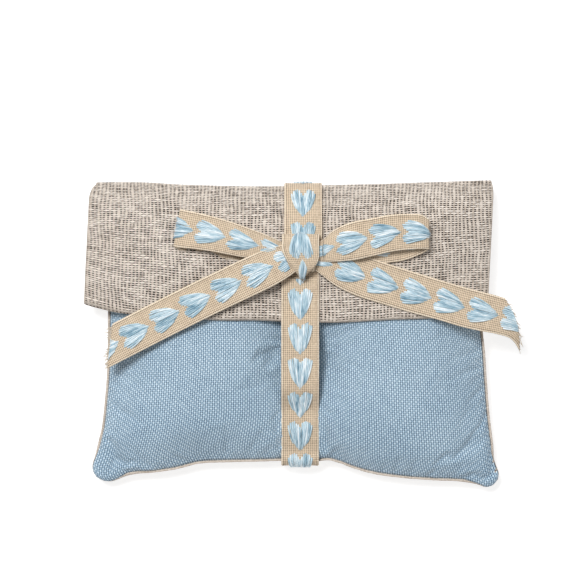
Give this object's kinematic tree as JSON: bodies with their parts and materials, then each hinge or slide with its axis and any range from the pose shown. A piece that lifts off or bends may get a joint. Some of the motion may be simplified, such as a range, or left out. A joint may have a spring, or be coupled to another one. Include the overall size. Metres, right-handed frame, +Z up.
{
  "type": "ring bearer pillow",
  "caption": "Small envelope-shaped ring bearer pillow: blue canvas front, natural linen back that folds over as a flap, tied round with a tan ribbon woven with hearts, with a bow on the flap.",
  "frame": {"origin": "middle of the object's footprint, at the level of the surface its linen back lies on", "axes": "+Z up out of the front, +Y towards the flap's fold, +X along the long side"},
  "size_m": [0.1159, 0.0798, 0.0225],
  "materials": {
    "natural_linen": "natural linen, open plain weave, matt",
    "blue_canvas": "dusty blue cotton canvas, plain weave, matt",
    "lining_cotton": "plain ecru cotton, fine weave, matt",
    "wadding": "white polyester wadding, soft",
    "tan_ribbon": "tan woven ribbon with fine cross ribs, matt",
    "heart_floats": "light blue brocade yarn, slight silk sheen",
    "ecru_thread": "polyester sewing thread"
  },
  "bodies": {
    "pillow": {"back_panel": "natural_linen", "front_panel": "blue_canvas", "back_lining": "lining_cotton", "front_lining": "lining_cotton", "filling_pad": "wadding", "seam_thread_left": "ecru_thread", "seam_thread_right": "ecru_thread", "seam_thread_bottom": "ecru_thread", "mouth_stitches": "ecru_thread", "ribbon_back_run": "tan_ribbon", "hearts_back_run": "heart_floats"},
    "flap": {"flap_outer": "natural_linen", "flap_facing": "natural_linen", "ribbon_top_run": "tan_ribbon", "hearts_top_run": "heart_floats", "knot_wrap": "tan_ribbon", "knot_core": "tan_ribbon", "heart_knot": "heart_floats"},
    "front_run": {"ribbon_front_run": "tan_ribbon", "hearts_front_run": "heart_floats"},
    "loop_left": {"bow_loop_left": "tan_ribbon", "hearts_loop_left": "heart_floats"},
    "tail_left": {"bow_tail_left": "tan_ribbon", "hearts_tail_left": "heart_floats"},
    "tail_right": {"bow_tail_right": "tan_ribbon", "hearts_tail_right": "heart_floats"},
    "loop_right": {"bow_loop_right": "tan_ribbon", "hearts_loop_right": "heart_floats"}
  },
  "joints": [
    {"name": "flap_fold", "type": "hinge", "parent": "pillow", "child": "flap", "pos_m": [-0.0004, 0.0395, 0.0067], "axis": [-1, 0, 0], "range_deg": [0, 135]},
    {"name": "front_run_swing", "type": "hinge", "parent": "pillow", "child": "front_run", "pos_m": [-0.0004, -0.0348, 0.0067], "axis": [1, 0, 0], "range_deg": [0, 165]},
    {"name": "loop_left_lift", "type": "hinge", "parent": "flap", "child": "loop_left", "pos_m": [-0.0064, 0.0225, 0.0215], "axis": [0.1942, 0.981, 0], "range_deg": [0, 45]},
    {"name": "tail_left_lift", "type": "hinge", "parent": "loop_left", "child": "tail_left", "pos_m": [-0.0068, 0.0189, 0.0214], "axis": [-0.4384, 0.8988, 0], "range_deg": [0, 45]},
    {"name": "tail_right_lift", "type": "hinge", "parent": "flap", "child": "tail_right", "pos_m": [0.0058, 0.0188, 0.021], "axis": [-0.2924, -0.9563, 0], "range_deg": [0, 45]},
    {"name": "loop_right_lift", "type": "hinge", "parent": "tail_right", "child": "loop_right", "pos_m": [0.0054, 0.0226, 0.02085], "axis": [0.1633, -0.9866, 0], "range_deg": [0, 45]}
  ],
  "couplings": [
    {"joint": "front_run_swing", "follows": "flap_fold", "ratio": 1.2}
  ]
}
